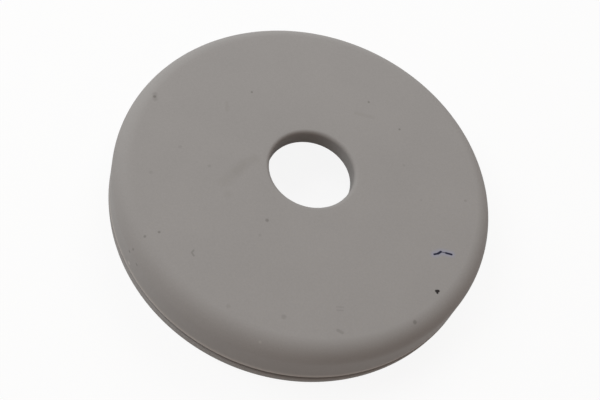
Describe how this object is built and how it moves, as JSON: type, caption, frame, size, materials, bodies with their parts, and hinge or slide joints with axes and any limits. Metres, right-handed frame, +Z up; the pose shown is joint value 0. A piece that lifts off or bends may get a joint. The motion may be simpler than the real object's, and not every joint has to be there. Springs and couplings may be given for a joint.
{
  "type": "rubber cover",
  "caption": "Round hollow rubber cover with a flat top, a broad rounded shoulder, a hole through the middle and a grooved foot lip.",
  "frame": {"origin": "middle of the face that the cover stands on, on the axis of the round moulding", "axes": "+Z up along the axis of the moulding, out of the flat top; X and Y lie in the standing face"},
  "size_m": [0.084, 0.084, 0.0127],
  "materials": {
    "rubber": "matte moulded rubber, light warm grey, lightly marked by use"
  },
  "bodies": {
    "root": {"cover": "rubber"}
  },
  "joints": []
}
